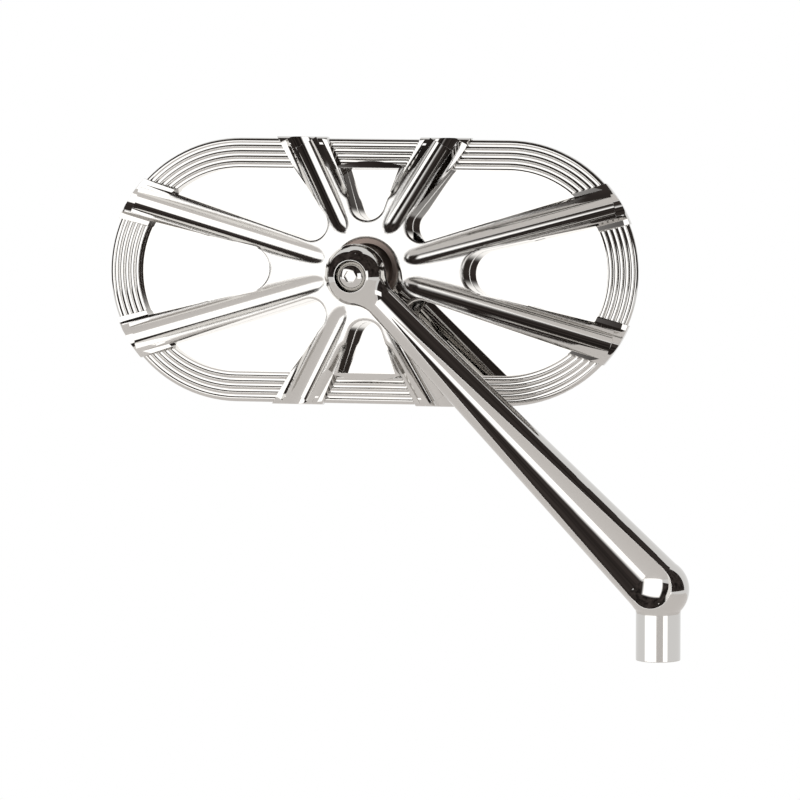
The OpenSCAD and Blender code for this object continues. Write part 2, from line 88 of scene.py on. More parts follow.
# Face attribute while a piece is shaped: the CAD face that a face comes from
CAD_FACE = "cad_face"
# Places closer than this are one place
CLOSE = 0.001 * MM
# Keeps a division or a root away from zero
TINY = 1e-12


def linear(hex_colour):
    """An sRGB hex colour as linear RGBA."""
    parts = [int(hex_colour[i:i + 2], 16) / 255 for i in (1, 3, 5)]
    return tuple(p / 12.92 if p <= 0.04045 else ((p + 0.055) / 1.055) ** 2.4 for p in parts) + (1,)


def add(tree, kind, settings=None, **links):
    """A node with its settings; each link names a socket, with _ for a space, or in0, in1 by place.

    A link gives a value or another node's output.
    """
    node = tree.nodes.new(kind)
    for name, value in (settings or {}).items():
        setattr(node, name, value)
    for name, value in links.items():
        by_place = name.startswith("in") and name[2:].isdigit()
        socket = node.inputs[int(name[2:]) if by_place else name.replace("_", " ")]
        if isinstance(value, bpy.types.NodeSocket):
            tree.links.new(value, socket)
        else:
            socket.default_value = value
    return node


def new_material(name):
    """An empty node material and its tree."""
    material = bpy.data.materials.new(name)
    material.use_nodes = True
    material.node_tree.nodes.clear()
    return material, material.node_tree


def finish_material(material, shader):
    """The material with the shader as its surface."""
    add(material.node_tree, "ShaderNodeOutputMaterial", Surface=shader.outputs[0])
    return material


def new_object(name, data):
    """An object of the scene that shows this mesh or camera."""
    obj = bpy.data.objects.new(name, data)
    bpy.context.scene.collection.objects.link(obj)
    return obj


def new_mesh(name, verts, faces):
    mesh = bpy.data.meshes.new(name)
    mesh.from_pydata(verts, [], faces)
    return mesh


class MirrorSizes(bpy.types.PropertyGroup):
    """Sizes of the studio and of the soft edges on the metal"""
    floor_drop: bpy.props.FloatProperty(
        name="Floor drop", description="How far the floor lies under the stem's foot",
        default=0.25, unit="LENGTH")
    camera_azimuth: bpy.props.FloatProperty(
        name="Camera azimuth", description="Direction of the camera round the mirror",
        default=math.radians(11.26), subtype="ANGLE")
    camera_elevation: bpy.props.FloatProperty(
        name="Camera elevation", description="Height of the camera over the horizon",
        default=math.radians(5.33), subtype="ANGLE")
    camera_distance: bpy.props.FloatProperty(
        name="Camera distance", description="Distance of the camera from its target",
        default=1.7048, unit="LENGTH")
    camera_target: bpy.props.FloatVectorProperty(
        name="Camera target", description="Place in the middle of the picture",
        default=(-0.07796, 0, 0.07583), subtype="XYZ", unit="LENGTH")
    camera_lens: bpy.props.FloatProperty(
        name="Camera lens", description="Focal length in millimetres on a 36 mm sensor",
        default=257.7)
    arm_edge: bpy.props.FloatProperty(
        name="Arm edge", description="Radius of the arm's soft edges",
        default=0.3 * MM, unit="LENGTH", precision=5)
    rim_edge: bpy.props.FloatProperty(
        name="Rim edge", description="Radius of the soft edges on the head's grooved rim",
        default=0.08 * MM, unit="LENGTH", precision=5)
    spoke_edge: bpy.props.FloatProperty(
        name="Spoke edge", description="Radius of the soft edges on the spokes and windows",
        default=1.6 * MM, unit="LENGTH", precision=5)
    plate_edge: bpy.props.FloatProperty(
        name="Plate edge", description="Radius of the floor plate's soft edges",
        default=0.1 * MM, unit="LENGTH", precision=5)
    screw_edge: bpy.props.FloatProperty(
        name="Screw edge", description="Radius of the stud screw's soft edges",
        default=0.25 * MM, unit="LENGTH", precision=5)
    washer_edge: bpy.props.FloatProperty(
        name="Washer edge", description="Radius of the lock washer's soft edges",
        default=0.15 * MM, unit="LENGTH", precision=5)


class MirrorColours(bpy.types.PropertyGroup):
    """Colours of the finishes and of the studio"""
    chrome: bpy.props.StringProperty(
        name="Chrome", description="Face colour of the chromed metal, sRGB hex",
        default="#c9c7c4")
    ball_steel: bpy.props.StringProperty(
        name="Ball steel", description="Face colour of the ball and its stud, sRGB hex",
        default="#80756f")
    ring_steel: bpy.props.StringProperty(
        name="Ring steel", description="Face colour of the socket ring, sRGB hex",
        default="#756963")
    zinc: bpy.props.StringProperty(
        name="Zinc", description="Face colour of the zinc-plated pieces, sRGB hex",
        default="#b9b7b2")
    glass: bpy.props.StringProperty(
        name="Glass", description="Face colour of the silvered glass, sRGB hex",
        default="#e9eeed")
    nylon: bpy.props.StringProperty(
        name="Nylon", description="Colour of the seats and the liner, sRGB hex",
        default="#e6e2d5")
    rubber: bpy.props.StringProperty(
        name="Rubber", description="Colour of the gasket, sRGB hex",
        default="#1c1c1d")
    foam: bpy.props.StringProperty(
        name="Foam", description="Colour of the pad behind the glass, sRGB hex",
        default="#2b2b2c")
    floor: bpy.props.StringProperty(
        name="Floor", description="Colour of the studio floor, sRGB hex",
        default="#efebe8")
    flag: bpy.props.StringProperty(
        name="Dark flag", description="Colour of the dark cloth over the camera, sRGB hex",
        default="#332e2c")
    card: bpy.props.StringProperty(
        name="Cards", description="Colour of the softboxes' light, sRGB hex",
        default="#ffffff")


# Materials: pattern sizes, waves, feeds, grains and depths are in millimetres

# A wave texture of scale 1 repeats after this length
WAVE_REPEAT = 0.314
# Index of refraction of the float glass
GLASS_IOR = 1.52


def object_place(tree, centre=(0, 0, 0)):
    """Object coordinates in metres, measured from a centre."""
    place = add(tree, "ShaderNodeTexCoord")
    return add(tree, "ShaderNodeMapping", Vector=place.outputs["Object"],
               Location=tuple(-c for c in centre))


def chrome_plate(edge=None, haze=9, clear=0.01, dull=0.035):
    """Bright chromium over polished aluminium: a clear mirror with a faint polishing haze.

    Its edges are buffed soft, to one radius in metres or to the mesh's own attribute.
    """
    material, tree = new_material("chrome_plate")
    place = object_place(tree)
    cloud = add(tree, "ShaderNodeTexNoise", Vector=place.outputs[0], Scale=1 / (haze * MM),
                Detail=2.0)
    rough = add(tree, "ShaderNodeMapRange", Value=cloud.outputs["Fac"], To_Min=clear, To_Max=dull)
    if edge is None:
        edge = add(tree, "ShaderNodeAttribute", {"attribute_name": SOFT_EDGE}).outputs["Fac"]
    soft = add(tree, "ShaderNodeBevel", {"samples": 8}, Radius=edge)
    shader = add(tree, "ShaderNodeBsdfPrincipled",
                 Base_Color=linear(bpy.context.scene.mirror_colours.chrome), Metallic=1.0,
                 Roughness=rough.outputs["Result"], Normal=soft.outputs[0])
    return finish_material(material, shader)


def turned_steel(name, hex_colour, axis="Y", feed=0.35, rough=0.3, depth=0.01, wear=0.6):
    """Turned steel: a satin sheen drawn out by fine tool rings, with small worn spots.

    The rings are drawn coarser than the real feed so that they show.
    """
    material, tree = new_material(name)
    place = object_place(tree, BALL)
    rings = add(tree, "ShaderNodeTexWave", {"wave_type": "BANDS", "bands_direction": axis},
                Vector=place.outputs[0], Scale=WAVE_REPEAT / (feed * MM), Distortion=0.4,
                Detail=2.0)
    spots = add(tree, "ShaderNodeTexNoise", Vector=place.outputs[0], Scale=1 / (wear * MM),
                Detail=4.0)
    bump = add(tree, "ShaderNodeBump", Height=rings.outputs["Fac"], Distance=depth * MM,
               Strength=0.5)
    worn = add(tree, "ShaderNodeMapRange", Value=spots.outputs["Fac"], To_Min=rough - 0.05,
               To_Max=rough + 0.08)
    shader = add(tree, "ShaderNodeBsdfPrincipled", Base_Color=linear(hex_colour), Metallic=1.0,
                 Roughness=worn.outputs["Result"], Normal=bump.outputs[0])
    return finish_material(material, shader)


def moulded(name, hex_colour, rough, grain, depth, subsurface=0.0):
    """Moulded polymer: one colour with a dull sheen that the mould's fine grain breaks up."""
    material, tree = new_material(name)
    place = object_place(tree)
    noise = add(tree, "ShaderNodeTexNoise", Vector=place.outputs[0], Scale=1 / (grain * MM),
                Detail=5.0)
    bump = add(tree, "ShaderNodeBump", Height=noise.outputs["Fac"], Distance=depth * MM,
               Strength=0.6)
    sheen = add(tree, "ShaderNodeMapRange", Value=noise.outputs["Fac"], To_Min=rough - 0.06,
                To_Max=rough + 0.06)
    shader = add(tree, "ShaderNodeBsdfPrincipled", Base_Color=linear(hex_colour), Metallic=0.0,
                 Roughness=sheen.outputs["Result"], Subsurface_Weight=subsurface,
                 Subsurface_Scale=MM, Normal=bump.outputs[0])
    return finish_material(material, shader)


def mirror_glass(wave=60, depth=0.02):
    """Float glass silvered behind: a clear cool mirror whose face has hardly any waviness."""
    material, tree = new_material("silvered_glass")
    place = object_place(tree)
    swell = add(tree, "ShaderNodeTexNoise", Vector=place.outputs[0], Scale=1 / (wave * MM),
                Detail=0.0)
    bump = add(tree, "ShaderNodeBump", Height=swell.outputs["Fac"], Distance=depth * MM,
               Strength=0.3)
    shader = add(tree, "ShaderNodeBsdfPrincipled",
                 Base_Color=linear(bpy.context.scene.mirror_colours.glass), Metallic=1.0,
                 Roughness=0.008, Coat_Weight=1.0, Coat_IOR=GLASS_IOR, Coat_Roughness=0.0,
                 Normal=bump.outputs[0])
    return finish_material(material, shader)


# Meshes with true normals

# A surface fits a CAD face if no point is further off than this, in metres
FIT_LIMIT = 0.02 * MM
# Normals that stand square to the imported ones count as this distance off, in metres
TURN_COST = 0.1 * MM
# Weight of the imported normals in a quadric's fit, against its points
NORMAL_WEIGHT = 1e-4


def read(items, name, kind=float, width=1):
    """One property of all a mesh's items as an array, in rows where it has several numbers."""
    values = np.empty(len(items) * width, kind)
    items.foreach_get(name, values)
    return values.reshape(-1, width) if width > 1 else values


def node_points(mesh):
    return read(mesh.vertices, "co", width=3)


def loop_vertices(mesh):
    return read(mesh.loops, "vertex_index", int)


def loop_faces(mesh):
    """Index of the face that each corner belongs to."""
    count = read(mesh.polygons, "loop_total", int)
    return np.repeat(np.arange(len(count)), count)


def unit(vectors):
    return vectors / np.maximum(np.linalg.norm(vectors, axis=1), TINY)[:, None]


def face_groups(mesh):
    """Label of each vertex's CAD face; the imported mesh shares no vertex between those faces."""
    a, b = read(mesh.edges, "vertices", int, 2).T
    label = np.arange(len(mesh.vertices))
    while True:
        low = np.minimum(label[a], label[b])
        before = label.copy()
        np.minimum.at(label, a, low)
        np.minimum.at(label, b, low)
        label = label[label]
        if (label == before).all():
            return label


def quadric_fit(points, packed_normals):
    """Distance off and normal function of the quadric that best keeps points and normals."""
    middle = points.mean(0)
    size = np.ptp(points, axis=0).max() or 1

    def rows(place):
        x, y, z = ((place - middle) / size).T
        one, nil = np.ones_like(x), np.zeros_like(x)
        return [np.stack([x * x, y * y, z * z, x * y, y * z, z * x, x, y, z, one], 1),
                np.stack([2 * x, nil, nil, y, nil, z, one, nil, nil, nil], 1),
                np.stack([nil, 2 * y, nil, x, z, nil, nil, one, nil, nil], 1),
                np.stack([nil, nil, 2 * z, nil, y, x, nil, nil, one, nil], 1)]

    value, *slope = rows(points)
    known = np.vstack([value] + [NORMAL_WEIGHT * s for s in slope])
    wanted = np.concatenate([np.zeros(len(points))]
                            + [NORMAL_WEIGHT * packed_normals[:, i] for i in range(3)])
    q = np.linalg.lstsq(known, wanted, rcond=None)[0]
    steepness = np.linalg.norm(np.stack([s @ q for s in slope], 1), axis=1)
    off = np.abs(value @ q / np.maximum(steepness, TINY)).max() * size
    return off, lambda place: np.stack([s @ q for s in rows(place)[1:]], 1)


def ring_fit(points, origin, axis):
    """Distance off and normal function of the ring surface round an axis with a round section."""
    def section(place):
        rise = (place - origin) @ axis
        outward = place - origin - np.outer(rise, axis)
        reach = np.linalg.norm(outward, axis=1)
        return reach, rise, outward / np.maximum(reach, TINY)[:, None]

    reach, rise, _ = section(points)
    if reach.min() < CLOSE:
        return math.inf, None
    size = max(np.ptp(reach), np.ptp(rise), CLOSE)
    u, v = (reach - reach.mean()) / size, (rise - rise.mean()) / size
    rows = np.stack([u, v, np.ones_like(u)], 1)
    a, b, c = np.linalg.lstsq(rows, u * u + v * v, rcond=None)[0]
    radius = math.sqrt(max(c + (a * a + b * b) / 4, TINY))
    off = np.abs(np.hypot(u - a / 2, v - b / 2) - radius).max() * size
    centre_reach = reach.mean() + size * a / 2
    centre_rise = rise.mean() + size * b / 2

    def normals(place):
        reach, rise, outward = section(place)
        return (reach - centre_reach)[:, None] * outward + (rise - centre_rise)[:, None] * axis

    return off, normals


def nearest_normals(points, normals):
    """Normal function that takes the normal of the nearest known point."""
    return lambda place: normals[
        np.argmin(((place[:, None] - points[None]) ** 2).sum(2), axis=1)]


def write_labels(mesh, values):
    """Writes the label of each face's CAD face."""
    labels = mesh.attributes.new(CAD_FACE, "INT", "FACE")
    labels.data.foreach_set("value", np.asarray(values, np.int32))


def surface_fits(mesh, axes):
    """Labels each face with its CAD face, and gives the normal function of each of those."""
    points, vertex = node_points(mesh), loop_vertices(mesh)
    packed = np.zeros_like(points)
    np.add.at(packed, vertex, read(mesh.corner_normals, "vector", width=3))
    packed = unit(packed)
    label = face_groups(mesh)
    fits = {}
    for group in np.unique(label):
        mine = np.flatnonzero(label == group)
        p, n = points[mine], packed[mine]
        best, choice = FIT_LIMIT, nearest_normals(p, n)
        for off, normals in [quadric_fit(p, n)] + [ring_fit(p, *a) for a in axes]:
            if off < best:
                apart = 1 - np.abs((unit(normals(p)) * n).sum(1)).mean()
                score = off + TURN_COST * apart
                if score < best:
                    best, choice = score, normals
        fits[group] = choice
    first_corner = read(mesh.polygons, "loop_start", int)
    write_labels(mesh, label[vertex[first_corner]])
    return fits


def true_normals(mesh, fits):
    """Corner normals from the surface under each face; one with no surface stays flat."""
    face = loop_faces(mesh)
    label = read(mesh.attributes[CAD_FACE].data, "value", np.int32)[face]
    place = node_points(mesh)[loop_vertices(mesh)]
    result = read(mesh.polygons, "normal", width=3)[face].copy()
    for group in np.unique(label):
        if group in fits:
            mine = np.flatnonzero(label == group)
            n = unit(fits[group](place[mine]))
            sign = np.sign((n * result[mine]).sum(1))
            result[mine] = n * np.where(sign == 0, 1, sign)[:, None]
    return result


def dressed(node, material, axes=(), shaped=None):
    """A piece of the node's own form with exact normals and a finish, which stands for the node.

    Where shaped is given, it changes the form of the piece before the normals are set.
    """
    cad = frame["nodes"][node]
    piece = new_object(node + "_finished", cad.data.copy())
    fits = surface_fits(piece.data, [(np.array(o), np.array(a)) for o, a in axes])
    if shaped:
        shaped(piece, fits)
    mesh = piece.data
    mesh.materials.clear()
    mesh.materials.append(material)
    normals = true_normals(mesh, fits)
    mesh.attributes.remove(mesh.attributes[CAD_FACE])
    mesh.shade_smooth()
    mesh.normals_split_custom_set(normals.tolist())
    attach(piece, next(b for b, e in frame["bodies"].items() if cad.parent == e))
    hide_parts(node)
    return piece


def finish_node(node, material):
    """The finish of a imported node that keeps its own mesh."""
    for slot in frame["nodes"][node].material_slots:
        slot.material = material


def numbered(name, count):
    """Names of a row of like nodes, from 1 up."""
    return [f"{name}_{i + 1}" for i in range(count)]


def plane_place(points):
    """Places across the head's plane, in metres from the ball: along its side and up it."""
    flat = np.asarray(points) - np.array(BALL)
    return flat @ np.array(HEAD_SIDE), flat @ np.array(HEAD_UP)


def end_offset():
    """Half the distance between the centres of the head's two round ends, from the glass."""
    side, up = plane_place(node_points(frame["nodes"]["mirror_glass"].data))
    return (np.ptp(side) - np.ptp(up)) / 2


def head_axes():
    """Axes of the head's round ends and of its hub."""
    offset = end_offset()
    return [(BALL + HEAD_SIDE * s * offset, HEAD_BACK) for s in (-1, 1)] + [(BALL, HEAD_BACK)]


def arm_axes():
    """Axes of the arm's bar and of its stem."""
    boss = Vector((BALL.x, 0, BALL.z))
    return [(boss, (STEM_TOP - boss).normalized()), (Vector(), Vector((0, 0, 1)))]


def soften_edges(piece, rim, spokes, rim_band=10):
    """Small soft edges on the grooved rim, larger ones on the spokes and windows inside it.

    The band that counts as the rim is given in millimetres, from the outline inwards.
    """
    side, up = plane_place(node_points(piece.data))
    half = np.ptp(up) / 2
    reach = np.hypot(np.maximum(np.abs(side) - end_offset(), 0), up)
    value = np.where(reach < half - rim_band * MM, spokes, rim)
    radius = piece.data.attributes.new(SOFT_EDGE, "FLOAT", "POINT")
    radius.data.foreach_set("value", value)


# Carving of the spokes, in millimetres: blunt flutes and flanks that slope along the crown.
# Places are measured from the hub's axis, and heights from the plane of the rim's outer edge.

# Directions of the spokes, in degrees
SPOKES = [15.8, 61.3, 118.7, 164.2, 195.8, 241.3, 298.7, 344.2]

# The head as in the solids
HALF_HEIGHT = 40        # also the radius of a round end
END_CENTRE = 41.25      # centre of a round end
BALL_HEIGHT = 6.7       # height of the ball's centre
CROWN_TOP = 10.3        # height of the crown over the hub
CROWN_DROP = 7.7        # from there down to the outline

# A flute, as a round bar with a blunt nose
FLUTE_START = 16.5      # where the nose has grown to the full radius
FLUTE_NOSE = 6.5        # length of the nose
FLUTE_R = 3.4           # the bar's radius
FLUTE_IN = 1.1          # depth under the crown at the start
FLUTE_OUT = 1.2         # depth under the crown at the outline
FLUTE_PAST = 8          # how far the bar runs past the outline
FLUTE_SIDES = 72        # flat sides of the bar
NOSE_STEPS = 16         # rings that shape the nose

# A filler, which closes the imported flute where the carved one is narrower
FILL_START = 0.64       # as a share of the spoke's reach
FILL_INSET = 1.6        # from the outline
FILL_HALF = 4.0         # half of its width
FILL_LOW = -1           # height of its underside, inside the spoke
FILL_PROUD = 0.015      # over the crown
FILL_STEPS = 12         # stretches along it
FILL_POINTS = 5         # points across its top

# A flank, cut by a plane that follows the straight line under the crown
LINE_START = 12         # where that line starts
CREST = 3.7             # half of the crest's width at the middle of the line
FLANK_SLOPE = 0.7       # how far the flank comes out for each millimetre that it falls
FLANK_LOW = 1.05        # just over the rim's inner edge
FLANK_LIP = 0.3         # from the flank's foot to the cutter's side
CUTTER_RISE = 1.5       # the cutter's top over the crown
TIP_SHARE = 0.40        # where the cutter starts, as a share of the spoke's reach
TIP_BESIDE = 5.2        # it starts as a thin blade in the open window, beside the spoke
TIP_WIDTH = 0.1
TIP_DEPTH = 3
# The cutter's other stations: share of the spoke's reach, and place of the cutter's side,
# which ends outside the spoke's foot
FLANK_STATIONS = ((0.54, 5.6), (1.0, 7.0), (1.04, 7.0))

# Labels of carved faces, over all those of CAD faces; a flute's has its direction added
FLUTE_LABEL = 1000000
FLANK_LABEL = 1000500
FILL_LABEL = 1000501
NO_LABEL = -1
# Most sides of a pinhole that carving can leave
PINHOLE_SIDES = 8


def head_place(side, up, height):
    """A place of the head in the shared frame."""
    return BALL + (HEAD_SIDE * side + HEAD_UP * up + HEAD_BACK * (height - BALL_HEIGHT)) * MM


def crown_height(side, up):
    """Height of the head's crown, a ring surface that is flatter across than up."""
    across, along = [(half * half + CROWN_DROP ** 2) / (2 * CROWN_DROP)
                     for half in (HALF_HEIGHT + END_CENTRE, HALF_HEIGHT)]
    ring = across - along + math.sqrt(along ** 2 - up ** 2)
    return CROWN_TOP - across + math.sqrt(ring ** 2 - side ** 2)


def turned(angle, out, across):
    """Side and up of a place at a spoke: out along it and across it."""
    c, s = math.cos(math.radians(angle)), math.sin(math.radians(angle))
    return out * c - across * s, out * s + across * c


def spoke_place(angle, out, across, height):
    """A place at a spoke in the shared frame."""
    return head_place(*turned(angle, out, across), height)


def spoke_crown(angle, out, across=0):
    """Height of the crown at a spoke."""
    return crown_height(*turned(angle, out, across))


def spoke_reach(angle, radius=HALF_HEIGHT):
    """How far a spoke goes to the outline, or to one inside it with this radius at its ends."""
    c, s = abs(math.cos(math.radians(angle))), abs(math.sin(math.radians(angle)))
    if radius / s * c <= END_CENTRE:
        return radius / s
    return END_CENTRE * c + math.sqrt(radius ** 2 - (END_CENTRE * s) ** 2)


def loft(rings):
    """Vertices and faces of a closed form through rings of points."""
    count = len(rings[0])
    verts = [v for ring in rings for v in ring]
    faces = [tuple(range(count))[::-1]]
    for near in range(0, len(verts) - count, count):
        far = near + count
        for i in range(count):
            j = (i + 1) % count
            faces.append((near + i, near + j, far + j, far + i))
    faces.append(tuple(range(len(verts) - count, len(verts))))
    return verts, faces


def flute_form(angle, fits):
    """Cutter of a flute, whose lowest line falls straight from the nose to the outline."""
    reach = spoke_reach(angle)
    start_height = spoke_crown(angle, FLUTE_START) - FLUTE_IN
    fall = start_height - spoke_crown(angle, reach) + FLUTE_OUT
    slope = math.atan2(fall, reach - FLUTE_START)
    hub = spoke_place(angle, 0, 0, 0)
    ahead = (spoke_place(angle, 1, 0, 0) - hub).normalized()
    beside = (spoke_place(angle, 0, 1, 0) - hub).normalized()
    ahead = ahead * math.cos(slope) - HEAD_BACK * math.sin(slope)
    lift = ahead.cross(beside)
    nose = spoke_place(angle, FLUTE_START, 0, start_height) + lift * FLUTE_R * MM

    swing = [math.radians(90 * i / NOSE_STEPS) for i in range(1, NOSE_STEPS + 1)]
    stations = [(-FLUTE_NOSE * math.cos(t), FLUTE_R * math.sin(t)) for t in swing]
    stations.append((reach - FLUTE_START + FLUTE_PAST, FLUTE_R))
    round_bar = [2 * math.pi * i / FLUTE_SIDES for i in range(FLUTE_SIDES)]
    rings = [[nose + (ahead * along + (beside * math.cos(t) + lift * math.sin(t)) * radius) * MM
              for t in round_bar] for along, radius in stations]
    origin, axis = np.array(nose), np.array(ahead)

    def normals(place):
        rise = (place - origin) @ axis
        outward = place - origin - np.outer(rise, axis)
        return outward + np.outer(np.minimum(rise, 0) * (FLUTE_R / FLUTE_NOSE) ** 2, axis)

    fits[FLUTE_LABEL + int(angle)] = normals
    return loft(rings)


def fill_form(angle):
    """Filler of a packed flute, up to the crown."""
    start = FILL_START * spoke_reach(angle)
    end = spoke_reach(angle, HALF_HEIGHT - FILL_INSET)
    rings = []
    for i in range(FILL_STEPS + 1):
        out = start + (end - start) * i / FILL_STEPS
        top = [(across, spoke_crown(angle, out, across) + FILL_PROUD)
               for across in np.linspace(-FILL_HALF, FILL_HALF, FILL_POINTS)]
        section = [(-FILL_HALF, FILL_LOW)] + top + [(FILL_HALF, FILL_LOW)]
        rings.append([spoke_place(angle, out, across, height) for across, height in section])
    return loft(rings)


def flank_form(angle, way):
    """Cutter of one flank: nothing at the hub, then a plane that slopes along the spoke."""
    reach = spoke_reach(angle)
    high, end = spoke_crown(angle, LINE_START), spoke_crown(angle, reach)

    def line(out):
        return high + (end - high) * (out - LINE_START) / (reach - LINE_START)

    def cutter_top(out):
        return spoke_crown(angle, min(out, reach)) + CUTTER_RISE

    def ring(out, section):
        return [spoke_place(angle, out, way * across, height) for across, height in section]

    tip = TIP_SHARE * reach
    top = cutter_top(tip)
    rings = [ring(tip, [(TIP_BESIDE, top), (TIP_BESIDE + TIP_WIDTH / 2, top - TIP_DEPTH),
                        (TIP_BESIDE + TIP_WIDTH, top - TIP_DEPTH), (TIP_BESIDE + TIP_WIDTH, top)])]
    # The flank's plane lies this far from the spoke's middle at the height of the line
    middle = (reach + LINE_START) / 2
    at_line = CREST + FLANK_SLOPE * (spoke_crown(angle, middle) - line(middle))
    for share, side in FLANK_STATIONS:
        out = share * reach
        top = cutter_top(out)
        low = max(line(out) - (side - FLANK_LIP - at_line) / FLANK_SLOPE, FLANK_LOW)
        rings.append(ring(out, [(at_line - FLANK_SLOPE * (top - line(out)), top),
                                (at_line + FLANK_SLOPE * (line(out) - low), low),
                                (side, low), (side, top)]))
    return loft(rings)


def edit_mesh(mesh, change):
    """Makes one change to the mesh in its editable form."""
    work = bmesh.new()
    work.from_mesh(mesh)
    change(work)
    work.to_mesh(mesh)
    work.free()


def turn_outwards(work):
    bmesh.ops.recalc_face_normals(work, faces=work.faces)


def merge_seams(work):
    """Joins the CAD faces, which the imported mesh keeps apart."""
    bmesh.ops.remove_doubles(work, verts=work.verts, dist=CLOSE)


def fill_pinholes(work):
    """Closes the few tiny holes that carving leaves, with flat faces."""
    label = work.faces.layers.int[CAD_FACE]
    edges = [e for e in work.edges if e.is_boundary]
    for face in bmesh.ops.holes_fill(work, edges=edges, sides=PINHOLE_SIDES)["faces"]:
        face[label] = NO_LABEL


def joined(name, forms, labels):
    """One object of several closed forms, each with its own label, faced outwards."""
    verts, faces, values = [], [], []
    for (form_verts, form_faces), label in zip(forms, labels):
        faces += [tuple(i + len(verts) for i in face) for face in form_faces]
        verts += form_verts
        values += [label] * len(form_faces)
    mesh = new_mesh(name, verts, faces)
    write_labels(mesh, values)
    edit_mesh(mesh, turn_outwards)
    return new_object(name, mesh)


def boolean(piece, tool, operation):
    """Changes the piece's mesh by one exact cut or join with the tool, which goes."""
    step = piece.modifiers.new("carve", "BOOLEAN")
    step.object = tool
    step.operation = operation
    step.solver = "EXACT"
    result = piece.evaluated_get(bpy.context.evaluated_depsgraph_get())
    mesh = bpy.data.meshes.new_from_object(result)
    if not mesh.polygons:
        raise RuntimeError(f"{piece.name}: the {operation.lower()} with {tool.name} left nothing")
    piece.modifiers.clear()
    piece.data = mesh
    bpy.data.objects.remove(tool)


def carve_spokes(piece, fits):
    """Gives the spokes their blunt flutes and sloping flanks."""
    edit_mesh(piece.data, merge_seams)
    fills = [fill_form(angle) for angle in SPOKES]
    flutes = [flute_form(angle, fits) for angle in SPOKES]
    flanks = [flank_form(angle, way) for angle in SPOKES for way in (-1, 1)]
    flute_labels = [FLUTE_LABEL + int(angle) for angle in SPOKES]
    boolean(piece, joined("fill", fills, [FILL_LABEL] * len(fills)), "UNION")
    boolean(piece, joined("flutes", flutes, flute_labels), "DIFFERENCE")
    boolean(piece, joined("flanks", flanks, [FLANK_LABEL] * len(flanks)), "DIFFERENCE")
    edit_mesh(piece.data, fill_pinholes)


# Studio: places and sizes are in metres

FLOOR_HALF_WIDTH = 1.2
FLOOR_FRONT = -2.0
FLOOR_BACK = 1.0
CAMERA_SENSOR = 36      # in millimetres
CAMERA_FAR = 100
# Strength of the tent as it lights the mirror, and as the camera and the reflections see it
TENT_LIGHT = 1.0
TENT_WHITE = 1.0


def towards(azimuth, elevation):
    """Unit vector from the mirror: azimuth 0 towards the camera's side, 90 towards +X."""
    a, e = math.radians(azimuth), math.radians(elevation)
    return Vector((math.sin(a) * math.cos(e), -math.cos(a) * math.cos(e), math.sin(e)))


def reflections_only(obj):
    """Keeps a card or cloth of the studio from all but the reflections."""
    obj.visible_camera = False
    obj.visible_diffuse = False
    obj.visible_shadow = False


def card(name, azimuth, elevation, distance, width, height, strength=2.0, feather=0.3):
    """A softbox that only reflections see, facing the ball, with edges that fade out."""
    material, tree = new_material(name)
    place = add(tree, "ShaderNodeTexCoord").outputs["Generated"]
    parts = add(tree, "ShaderNodeSeparateXYZ", Vector=place)
    # Generated coordinates run from 0 to 1 across the card, so its middle is at 0.5
    from_middle = []
    for axis in ("X", "Y"):
        off = add(tree, "ShaderNodeMath", {"operation": "SUBTRACT"},
                  in0=parts.outputs[axis], in1=0.5)
        size = add(tree, "ShaderNodeMath", {"operation": "ABSOLUTE"}, in0=off.outputs[0])
        from_middle.append(size.outputs[0])
    far = add(tree, "ShaderNodeMath", {"operation": "MAXIMUM"},
              in0=from_middle[0], in1=from_middle[1])
    fade = add(tree, "ShaderNodeMapRange", {"interpolation_type": "SMOOTHSTEP"},
               Value=far.outputs[0], From_Min=0.5 - feather / 2, From_Max=0.5,
               To_Min=1.0, To_Max=0.0)
    glow = add(tree, "ShaderNodeEmission",
               Color=linear(bpy.context.scene.mirror_colours.card), Strength=strength)
    clear = add(tree, "ShaderNodeBsdfTransparent")
    shader = add(tree, "ShaderNodeMixShader", in0=fade.outputs["Result"],
                 in1=clear.outputs[0], in2=glow.outputs[0])

    w, h = width / 2, height / 2
    mesh = new_mesh(name, [(-w, -h, 0), (w, -h, 0), (w, h, 0), (-w, h, 0)], [(0, 1, 2, 3)])
    mesh.materials.append(finish_material(material, shader))
    obj = new_object(name, mesh)
    obj.location = BALL + towards(azimuth, elevation) * distance
    obj.rotation_euler = (BALL - obj.location).to_track_quat("Z", "Y").to_euler()
    reflections_only(obj)


def dark_flag(low=-6.0, high=89.0, half=120.0, behind=68.0, radius=2.6, steps=72,
              fold=0.625, dim=0.45, bright=2.4):
    """Dark cloth hung round and over the camera, from one height to another in degrees.

    It goes half degrees round on either side of the camera, and all round over the height behind.
    """
    material, tree = new_material("flag_cloth")
    place = add(tree, "ShaderNodeTexCoord")
    # Painted light and shade: the cloth glows instead of being lit, brighter and darker from fold
    # to fold as light falling on its folds would make it
    fold_light_and_shade = add(tree, "ShaderNodeTexNoise", Vector=place.outputs["Object"], Scale=1 / fold,
                Detail=3.0, Roughness=0.6)
    level = add(tree, "ShaderNodeMapRange", Value=fold_light_and_shade.outputs["Fac"],
                From_Min=0.35, From_Max=0.7, To_Min=dim, To_Max=bright)
    shader = add(tree, "ShaderNodeEmission",
                 Color=linear(bpy.context.scene.mirror_colours.flag),
                 Strength=level.outputs["Result"])

    verts, faces = [], []
    for i in range(steps + 1):
        azimuth = -180 + 360 * i / steps
        for j in range(steps + 1):
            elevation = low + (high - low) * j / steps
            verts.append(BALL + towards(azimuth, elevation) * radius)
            hangs = abs(azimuth + 180 / steps) < half or elevation > behind
            if i < steps and j < steps and hangs:
                k = i * (steps + 1) + j
                faces.append((k, k + 1, k + steps + 2, k + steps + 1))
    mesh = new_mesh("flag_cloth", verts, faces)
    mesh.materials.append(finish_material(material, shader))
    reflections_only(new_object("flag_cloth", mesh))


